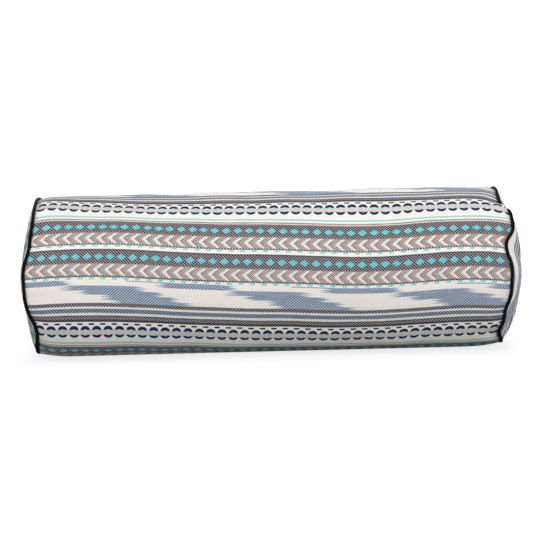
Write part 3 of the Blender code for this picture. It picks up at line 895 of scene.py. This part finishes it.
def inner_tube(name, outer_inset, inner_inset, back, sag=0.0):
    """A tube of cloth or fibre inside the cover, with rounded ends and closed edges."""
    shell = []
    for inset in (outer_inset, inner_inset):
        left, arc = inner_ring("left", -1, inset, back)
        right, _ = inner_ring("right", 1, inset, back)
        rows = []
        for k in range(49):
            part = k / 48
            row = left + (right - left) * part
            near = max(0.0, 1 - min(part, 1 - part) * 0.62 / 0.035) ** 2
            row = row + (MIDDLE - row) * (0, 1, 1) * near * 0.085
            lumps = np.sin(row[:, 0:1] / 0.021 + arc[:, None] / 0.017) * sag
            row = row + (row - MIDDLE) * (0, 1, 1) * lumps / RADIUS
            rows.append(row)
        shell.append(np.stack(rows))
    outer, inner = shell
    rows, columns = outer.shape[:2]
    count = rows * columns
    corners = np.concatenate([outer.reshape(-1, 3), inner.reshape(-1, 3)])
    faces = []
    for i in range(rows - 1):
        for j in range(columns):
            quad = ringed_quad(i, j, columns)
            faces.append(quad)
            faces.append(tuple(count + c for c in reversed(quad)))
    for j in range(columns):
        n = (j + 1) % columns
        faces.append((j, n, count + n, count + j))
        a, b = (rows - 1) * columns + j, (rows - 1) * columns + n
        faces.append((b, a, count + a, count + b))
    return mesh_from(name, corners, faces)


def closed_roll(name, rings):
    """A solid skinned over rings of points, closed at both ends by a fan."""
    columns = len(rings[0])
    corners = np.concatenate(rings + [rings[0].mean(axis=0)[None], rings[-1].mean(axis=0)[None]])
    faces = []
    for i in range(len(rings) - 1):
        for j in range(columns):
            faces.append(ringed_quad(i, j, columns))
    first, last = len(corners) - 2, len(corners) - 1
    for j in range(columns):
        n = (j + 1) % columns
        faces.append((j, n, first))
        faces.append(((len(rings) - 1) * columns + n, (len(rings) - 1) * columns + j, last))
    return mesh_from(name, corners, faces)


def make_fill_core(inset, back):
    """The firm roll in the middle: fibre wound up, its turns showing as a spiral on the ends."""
    middle = MIDDLE
    left, arc = inner_ring("left", -1, inset, back)
    right, _ = inner_ring("right", 1, inset, back)
    left[:, 0], right[:, 0] = left[:, 0].mean(), right[:, 0].mean()
    angle = np.arctan2(left[:, 2] - AXIS, left[:, 1])
    rings = []
    for end, sign in ((left, -1), (right, 1)):
        caps = []
        for k in range(1, 30):
            share = k / 30
            ring = middle + (end - middle) * share
            ring[:, 0] = end[:, 0] - sign * 0.0008 * (1 + np.cos(angle + share * 44)) * (
                share < 0.985)
            caps.append(ring)
        rings.append(caps)
    body = [left + (right - left) * k / 40 for k in range(41)]
    for number, ring in enumerate(body):
        ring[:, 1:] += (ring[:, 1:] - (0, AXIS)) * (0.004 * np.sin(arc / 0.02 + number * 0.7))[
            :, None]
    return closed_roll("fill_roll", rings[0] + body + rings[1][::-1])


def make_end_wad(side, sign, inset_share, under, back):
    """Loose fibre that domes an end, between the firm roll and the casing."""
    rim, arc = seam_ring(side, 120, MUSLIN_INSET)
    flat, _ = inner_ring(side, sign, 0.0205, back)
    flat[:, 0] = flat[:, 0].mean()
    middle = np.array([flat[0, 0], 0, AXIS])
    rings = [middle + (flat - middle) * k / 6 for k in range(1, 7)]
    steps = 22
    for k in range(steps):
        share = inset_share * (1 - k / steps)
        rings.append(end_row(side, sign, share, rim, arc, under))
    if sign < 0:
        rings = [ring[::-1] for ring in rings]
    return closed_roll("end_wad_of_batting_" + side, rings)


def make_inner_end(side, sign):
    """The muslin end of the inner casing: it passes the hems and domes behind the panel."""
    rim, arc = seam_ring(side, 120, MUSLIN_INSET)
    neck, _ = inner_ring(side, sign, 0.0165, 0.0078)
    rows = [neck, neck + np.array([sign * 0.0062, 0, 0])]
    steps = 26
    rows += [end_row(side, sign, 0.885 * (1 - k / steps), rim, arc, 0.0026)
             for k in range(steps)]
    return disc_wall("muslin_end_" + side, sign, rows, 0.0006)


# ---------------------------------------------------------------- piping
def swept_ring(name, path, profile, turn_per_point=0.0):
    """Sweeps a closed profile of (out, along) pairs round a closed path about the axis."""
    count, sides = len(path), len(profile)
    tangent = np.roll(path, -1, axis=0) - np.roll(path, 1, axis=0)
    tangent /= np.linalg.norm(tangent, axis=1, keepdims=True)
    outward = (path - MIDDLE) * (0, 1, 1)
    outward -= tangent * np.sum(outward * tangent, axis=1, keepdims=True)
    outward /= np.linalg.norm(outward, axis=1, keepdims=True)
    across = np.cross(tangent, outward)
    profile = np.asarray(profile, float)
    steps = np.linalg.norm(np.roll(path, -1, axis=0) - path, axis=1)
    run = np.concatenate([[0], np.cumsum(steps)])
    edge = np.concatenate([[0], np.cumsum(np.linalg.norm(
        np.roll(profile, -1, axis=0) - profile, axis=1))])
    corners, weave = [], []
    for i in range(count):
        angle = turn_per_point * i
        c, s = math.cos(angle), math.sin(angle)
        turned = profile @ np.array([[c, s], [-s, c]])
        corners.append(path[i] + outward[i] * turned[:, :1] + across[i] * turned[:, 1:])
        weave.append(np.stack([np.full(sides, run[i]), edge[:-1]], axis=-1))
    corners, weave = np.concatenate(corners), np.concatenate(weave)
    faces = []
    for i in range(count):
        for j in range(sides):
            a, b = i * sides + j, i * sides + (j + 1) % sides
            c, d = ((i + 1) % count) * sides + (j + 1) % sides, ((i + 1) % count) * sides + j
            faces.append((a, b, c, d))
    return mesh_from(name, corners, faces, {"weave": weave})


def piping_path(side, sign, count):
    """The line of the piping: it sinks between folds of cloth where the cover pulls over it."""
    path, arc = seam_ring(side, count, PIPING_INSET)
    if side == "right":
        sunk = 0.0050 * np.exp(-((arc - 0.1085) / 0.0042) ** 2)[:, None]
        inward = (MIDDLE - path) * (0, 1, 1)
        path = path + inward / np.linalg.norm(inward, axis=1, keepdims=True) * sunk
    path[:, 0] += sign * 0.0012
    path[:, 2] = np.maximum(path[:, 2], SHOWN_BEAD + 0.0001)
    return path


def make_piping(side, sign):
    """Bias cloth folded round a cord, with its two raw edges sewn into the seam."""
    profile = []
    for k in range(14):
        angle = math.radians(-155 + 310 * k / 13)
        profile.append((SHOWN_BEAD * math.cos(angle), SHOWN_BEAD * math.sin(angle)))
    profile += [(-0.0045, 0.0005), (-0.0105, 0.00045), (-0.0105, -0.00045), (-0.0045, -0.0005)]
    return swept_ring("piping_" + side, piping_path(side, sign, 420), profile)


def make_filler_cord(side, sign):
    profile = []
    for k in range(15):
        angle = 2 * math.pi * k / 15
        radius = 0.62 * SHOWN_BEAD + 0.00018 * math.cos(3 * angle)
        profile.append((radius * math.cos(angle), radius * math.sin(angle)))
    return swept_ring("piping_filler_" + side, piping_path(side, sign, 560), profile,
                      2 * math.pi * 60 / 560)


cover = dress(make_cover(), WOVEN, nodes=("cover_body",))
for side, sign in SIDES:
    dress(make_end_panel(side, sign), WOVEN, nodes=("end_panel_" + side,))
    dress(make_piping(side, sign), BLACK_COTTON, nodes=("piping_casing_" + side,))
    dress(make_filler_cord(side, sign), COTTON, nodes=("piping_cord_" + side,))

    dress(make_inner_end(side, sign), MUSLIN, nodes=("inner_casing_end_" + side,))
    dress(make_end_wad(side, sign, 0.860, 0.0050, 0.0090), BATTING,
          nodes=("end_wad_" + side,))
dress(inner_tube("muslin_tube", 0.0034, 0.0041, 0.0085), MUSLIN,
      nodes=("inner_casing_tube",))
dress(inner_tube("batting_round_roll", 0.0058, 0.0190, 0.0095, 0.0006), BATTING,
      nodes=("batting_wrap",))
dress(make_fill_core(0.0205, 0.0098), BATTING, nodes=("fill_core",))

# ---------------------------------------------------------------- zip and sewing
def path_tree():
    """Geometry Nodes: a rounded link at every step along a path, all one mesh."""
    tree = bpy.data.node_groups.new("links_along_a_path", "GeometryNodeTree")
    sockets = {}
    for label, kind in (("Geometry", "NodeSocketGeometry"), ("Step", "NodeSocketFloat"),
                        ("Link Size", "NodeSocketVector"), ("Finish", "NodeSocketMaterial")):
        sockets[label] = tree.interface.new_socket(label, in_out="INPUT", socket_type=kind)
    tree.interface.new_socket("Geometry", in_out="OUTPUT", socket_type="NodeSocketGeometry")

    def fit(kind, settings=None, values=None):
        node = tree.nodes.new(kind)
        for key, value in (settings or {}).items():
            setattr(node, key, value)
        for key, value in (values or {}).items():
            if isinstance(value, bpy.types.NodeSocket):
                tree.links.new(value, node.inputs[key])
            else:
                node.inputs[key].default_value = value
        return node

    given = fit("NodeGroupInput").outputs
    curve = fit("GeometryNodeMeshToCurve", None, {"Mesh": given["Geometry"]}).outputs[0]
    steps = fit("GeometryNodeResampleCurve", {"mode": "LENGTH"},
                {"Curve": curve, "Length": given["Step"]}).outputs[0]
    ball = fit("GeometryNodeMeshUVSphere", None,
               {"Segments": 8, "Rings": 6, "Radius": 1.0}).outputs["Mesh"]
    link = fit("GeometryNodeTransform", None, {"Geometry": ball,
                                               "Scale": given["Link Size"]}).outputs[0]
    tangent = fit("GeometryNodeInputTangent").outputs[0]
    turned = fit("FunctionNodeAlignRotationToVector", {"axis": "X"},
                 {"Vector": tangent}).outputs[0]
    placed = fit("GeometryNodeInstanceOnPoints", None,
                 {"Points": steps, "Instance": link, "Rotation": turned}).outputs[0]
    solid = fit("GeometryNodeRealizeInstances", None, {"Geometry": placed}).outputs[0]
    smooth = fit("GeometryNodeSetShadeSmooth", None, {"Geometry": solid}).outputs[0]
    dyed = fit("GeometryNodeSetMaterial", None, {"Geometry": smooth,
                                                 "Material": given["Finish"]}).outputs[0]
    fit("NodeGroupOutput", None, {0: dyed})
    return tree, {label: socket.identifier for label, socket in sockets.items()}


LINKS, LINK_INPUTS = path_tree()


def linked(name, paths, step, size, material):
    """One mesh of small rounded links set along one or more paths."""
    corners, edges = [], []
    for path in paths:
        first = len(corners)
        corners += [tuple(float(c) for c in p) for p in path]
        edges += [(k, k + 1) for k in range(first, len(corners) - 1)]
    track = bpy.data.meshes.new(name + "_path")
    track.from_pydata(corners, edges, [])
    holder = bpy.data.objects.new(name + "_path", track)
    bpy.context.scene.collection.objects.link(holder)
    links = holder.modifiers.new("links", "NODES")
    links.node_group = LINKS
    for label, value in (("Step", step), ("Link Size", size), ("Finish", material)):
        links[LINK_INPUTS[label]] = value
    shown = holder.evaluated_get(bpy.context.evaluated_depsgraph_get())
    mesh = bpy.data.meshes.new_from_object(shown)
    bpy.data.objects.remove(holder)
    mesh.name = name
    piece = bpy.data.objects.new(name, mesh)
    bpy.context.scene.collection.objects.link(piece)
    return piece


def make_zip():
    """The two rows of coil, the rows of stitches that hold the tapes, and the end tacks."""
    for row, lean in (("upper", 1), ("lower", -1)):
        low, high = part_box("zip_teeth_" + row)
        start = low.x + COIL_STEP * (0.5 if lean > 0 else 1.0)
        y = (low.y + high.y) / 2
        z = AXIS + lean * 0.00135
        line = [(start, y, z), (high.x - COIL_STEP * 0.5, y, z)]
        coil = linked("zip_coil_" + row, [line], COIL_STEP, (0.00050, 0.00095, 0.00215), COIL)
        dress(coil, COIL, nodes=("zip_teeth_" + row,))
    rows = []
    for arc in (OVER - STITCH_LINE, STITCH_LINE - UNDER):
        x = np.linspace(-OPENING_HALF + 0.004, OPENING_HALF - 0.004, 90)
        rows.append(on_cover(x, np.full_like(x, arc)))
    for end in (-1, 1):
        turn = np.linspace(-STITCH_LINE, STITCH_LINE, 9)
        arc = np.where(turn > 0, turn - UNDER, OVER + turn)
        rows.append(on_cover(np.full_like(turn, end * (OPENING_HALF + 0.0035)), arc))
    stitches = linked("zip_topstitching", rows, 0.0036, (0.00142, 0.00036, 0.00036), THREAD)
    dress(stitches, THREAD)


def on_cover(x, arc):
    """Points just proud of the finished cover at given places."""
    y, z, out_y, out_z = section(arc)
    spots = np.stack([x, y, z], axis=-1)
    lay = np.stack([np.zeros_like(x), out_y, out_z], axis=-1)
    face = cover.evaluated_get(bpy.context.evaluated_depsgraph_get())
    found = []
    for spot, way in zip(spots, lay):
        hit, place, _, _ = face.ray_cast(Vector(spot + way * 0.02), Vector(-way))
        found.append(np.array(place) + way * 0.0001 if hit else spot)
    return found


def cut_plate(outlines, thickness, bevel, x, y, z):
    """A stamped plate with rounded edges, facing the back: outlines are (x, z) points."""
    curve = bpy.data.curves.new("stamping", "CURVE")
    curve.dimensions, curve.fill_mode = "2D", "BOTH"
    curve.extrude, curve.bevel_depth, curve.bevel_resolution = thickness / 2 - bevel, bevel, 2
    curve.offset = -bevel
    for outline in outlines:
        spline = curve.splines.new("POLY")
        spline.points.add(len(outline) - 1)
        spline.points.foreach_set("co", [c for px, pz in outline for c in (px, pz, 0, 1)])
        spline.use_cyclic_u = True
    holder = bpy.data.objects.new("stamping", curve)
    bpy.context.scene.collection.objects.link(holder)
    shown = holder.evaluated_get(bpy.context.evaluated_depsgraph_get())
    mesh = bpy.data.meshes.new_from_object(shown)
    bpy.data.objects.remove(holder)
    mesh.transform(Matrix.Translation((x, y, z)) @ Matrix.Rotation(math.radians(90), 4, "X"))
    return mesh


def oval(long, wide, x=0.0, z=0.0, square=1.0, points=40):
    """A rounded outline: square 1 is an ellipse, smaller is boxier."""
    ring = []
    for k in range(points):
        c, s = math.cos(2 * math.pi * k / points), math.sin(2 * math.pi * k / points)
        ring.append((x + long * math.copysign(abs(c) ** square, c),
                     z + wide * math.copysign(abs(s) ** square, s)))
    return ring


def bent_wire(path, radius, sides=12):
    """A round wire along a short path in a plane of constant z, closed at both ends."""
    mesh = bpy.data.meshes.new("wire")
    path = np.asarray(path, float)
    along = np.gradient(path, axis=0)
    along /= np.linalg.norm(along, axis=1, keepdims=True)
    beside = np.array([0, 0, 1.0])
    corners = []
    for spot, way in zip(path, along):
        up = np.cross(beside, way)
        corners += [spot + radius * (math.cos(a) * up + math.sin(a) * beside)
                    for a in (2 * math.pi * k / sides for k in range(sides))]
    faces = [(i * sides + j, i * sides + (j + 1) % sides, (i + 1) * sides + (j + 1) % sides,
              (i + 1) * sides + j) for i in range(len(path) - 1) for j in range(sides)]
    faces += [tuple(range(sides))[::-1],
              tuple((len(path) - 1) * sides + j for j in range(sides))]
    mesh.from_pydata([tuple(c) for c in corners], [], faces)
    return mesh


def one_piece(name, meshes):
    """Several closed meshes as one object, cleaned, with faces outwards."""
    body = bmesh.new()
    for mesh in meshes:
        body.from_mesh(mesh)
    bmesh.ops.remove_doubles(body, verts=body.verts, dist=2e-6)
    bmesh.ops.recalc_face_normals(body, faces=body.faces)
    mesh = bpy.data.meshes.new(name)
    body.to_mesh(mesh)
    body.free()
    mesh.polygons.foreach_set("use_smooth", [True] * len(mesh.polygons))
    mesh.set_sharp_from_angle(angle=math.radians(42))
    piece = bpy.data.objects.new(name, mesh)
    bpy.context.scene.collection.objects.link(piece)
    return piece


def make_slider():
    """Two shaped plates held apart by a wedge, with turned edges and a bail over the top."""
    low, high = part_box("zip_slider")
    x, z = (low.x + high.x) / 2, (low.z + high.z) / 2
    long, wide = (high.x - low.x) / 2, (high.z - low.z) / 2
    shield = [(px * long, pz * wide) for px, pz in (
        (-1.0, 0.62), (-0.96, 0.72), (-0.5, 0.78), (0.1, 0.92), (0.5, 1.0), (0.85, 0.97),
        (1.0, 0.80), (0.97, 0.45), (0.72, 0.12), (0.62, 0.0), (0.72, -0.12), (0.97, -0.45),
        (1.0, -0.80), (0.85, -0.97), (0.5, -1.0), (0.1, -0.92), (-0.5, -0.78),
        (-0.96, -0.72), (-1.0, -0.62))][::-1]
    edge = [(-0.92, 0.56), (-0.5, 0.62), (0.1, 0.76), (0.5, 0.84), (0.9, 0.82),
            (0.9, 0.96), (0.5, 0.995), (0.1, 0.91), (-0.5, 0.77), (-0.92, 0.70)]
    outer = cut_plate([shield], 0.0012, 0.00035, x, low.y + 0.0048, z)
    inner = cut_plate([shield], 0.0011, 0.00035, x, low.y + 0.00060, z)
    lips = [cut_plate([[(px * long, lean * pz * wide) for px, pz in edge]], 0.0016, 0.0002,
                      x, low.y + 0.0041, z) for lean in (1, -1)]
    wedge = cut_plate([oval(0.0017, 0.0012, 0.0022)], 0.0042, 0.0002, x, low.y + 0.0026, z)
    turn = np.linspace(math.pi, 0, 25)
    top = high.y - 0.0006
    arch = np.stack([x + 0.0042 * np.cos(turn),
                     low.y + 0.0050 + (top - low.y - 0.0050) * np.sin(turn) ** 0.7,
                     np.full(25, z)], axis=-1)
    return one_piece("zip_slider_body", [outer, inner, wedge, bent_wire(arch, 0.0006)] + lips)


def make_pull_tab():
    """A stamped tab with an eye round the bail, a long slot and rounded edges."""
    low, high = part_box("zip_pull_tab")
    y, z = (low.y + high.y) / 2, (low.z + high.z) / 2
    wide, length = (high.z - low.z) / 2, high.x - low.x
    outline = []
    for share, reach in ((0.0, 0.0), (0.01, 0.30), (0.05, 0.46), (0.12, 0.54), (0.22, 0.58),
                         (0.45, 0.74), (0.70, 0.92), (0.84, 1.0), (0.93, 0.94), (0.98, 0.66),
                         (1.0, 0.30)):
        outline.append((high.x - length * share, reach * wide))
    outline += [(px, -pz) for px, pz in reversed(outline) if pz > 0]
    eye = oval(0.00115, 0.0010, high.x - 0.0021)
    slot = oval(0.0032, 0.00125, low.x + 0.0062, square=0.6)
    plate = cut_plate([outline, eye, slot], high.y - low.y, 0.0003, 0, y, z)
    return one_piece("zip_tab_plate", [plate])


COIL_STEP = 0.0021
STITCH_LINE = 0.0080
make_zip()
dress(make_slider(), METAL, body="slider", nodes=("zip_slider",))
dress(make_pull_tab(), METAL, body="pull_tab", nodes=("zip_pull_tab",))

for node, material in (("zip_tape_upper", TAPE), ("zip_tape_lower", TAPE),
                       ("zip_top_stop_upper", METAL), ("zip_top_stop_lower", METAL),
                       ("zip_bottom_stop", METAL)):
    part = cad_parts[node]
    part.data.materials.clear()
    part.data.materials.append(material)


# ---------------------------------------------------------------- studio
def make_floor():
    reach = 14.0
    floor = mesh_from("studio_floor", [(-reach, -reach, 0), (reach, -reach, 0),
                                       (reach, reach, 0), (-reach, reach, 0)], [(0, 1, 2, 3)])
    bench = Bench("white_paper_floor")
    mottle = bench.cloudy(bench.place(), 6.0, 3.0)
    x, y, z = bench.parts(bench.place())
    seen = bench.fit("ShaderNodeLightPath", out="Is Camera Ray")
    paper = bench.mixed(mottle, dye(156, 156, 159), dye(159, 159, 162))
    colour = bench.mixed(seen, dye(104, 104, 106), paper)
    away = (x * x + y * y).rising(4.0, 7.0)
    glow = bench.mixed(away, (0.745, 0.745, 0.76, 1), (1, 1, 1, 1))
    floor.data.materials.append(bench.finish(mottle, depth=0.0001, strength=0.05,
                                             Base_Color=colour, Roughness=0.9,
                                             Specular_IOR_Level=0.1, Emission_Strength=1.0,
                                             Emission_Color=bench.mixed(seen, (0, 0, 0, 1),
                                                                        glow)))


# Name, place, size and power of each lamp.
SOFTBOXES = (("overhead_softbox", (0.0, -0.25, 2.3), 1.9, 21.0),
             ("left_softbox", (-1.5, -2.3, 0.24), 1.2, 38.5),
             ("right_softbox", (1.5, -2.3, 0.24), 1.2, 38.5),
             ("left_side_softbox", (-2.6, -0.5, 0.8), 1.2, 21.0),
             ("right_side_softbox", (2.6, -0.5, 0.8), 1.2, 21.0),
             ("back_softbox", (0.2, 2.5, 1.2), 1.6, 42.0))
ROOM_LIGHT = 0.25
ROOM_SEEN = 1.02


def make_lights():
    world = bpy.data.worlds.new("soft_white_room")
    bpy.context.scene.world = world
    world.use_nodes = True
    tree = world.node_tree
    tree.nodes["Background"].inputs["Color"].default_value = (1, 1, 1, 1)
    sight = tree.nodes.new("ShaderNodeLightPath")
    level = tree.nodes.new("ShaderNodeMapRange")
    level.inputs["To Min"].default_value = ROOM_LIGHT
    level.inputs["To Max"].default_value = ROOM_SEEN
    tree.links.new(sight.outputs["Is Camera Ray"], level.inputs["Value"])
    tree.links.new(level.outputs[0], tree.nodes["Background"].inputs["Strength"])
    for name, place, size, power in SOFTBOXES:
        lamp = bpy.data.lights.new(name, "AREA")
        lamp.shape, lamp.size, lamp.energy = "SQUARE", size, power
        holder = bpy.data.objects.new(name, lamp)
        holder.location = place
        aim = Vector((0, 0, AXIS)) - Vector(place)
        holder.rotation_euler = aim.to_track_quat("-Z", "Y").to_euler()
        bpy.context.scene.collection.objects.link(holder)


def make_camera():
    """Level with the roll and a little above it, with a slight tilt."""
    pitch, roll, distance = math.radians(8.0), math.radians(1.42), 2.1
    back = Vector((0, -math.cos(pitch), math.sin(pitch)))
    rise = Vector((0, math.sin(pitch), math.cos(pitch)))
    side = Vector((1, 0, 0))
    right = side * math.cos(roll) - rise * math.sin(roll)
    upward = side * math.sin(roll) + rise * math.cos(roll)
    seat = Vector((0, 0, AXIS)) + back * distance + right * 0.00285 + upward * 0.00214
    lens = bpy.data.cameras.new("studio_camera")
    lens.sensor_width = 36.0
    lens.lens = 98.18
    camera = bpy.data.objects.new("studio_camera", lens)
    turn = Matrix((right, upward, back)).transposed().to_4x4()
    camera.matrix_world = Matrix.Translation(seat) @ turn
    bpy.context.scene.collection.objects.link(camera)
    bpy.context.scene.camera = camera


make_floor()
make_lights()
make_camera()
bpy.context.scene.view_settings.view_transform = "Standard"
bpy.context.scene.cycles.denoising_prefilter = "NONE"
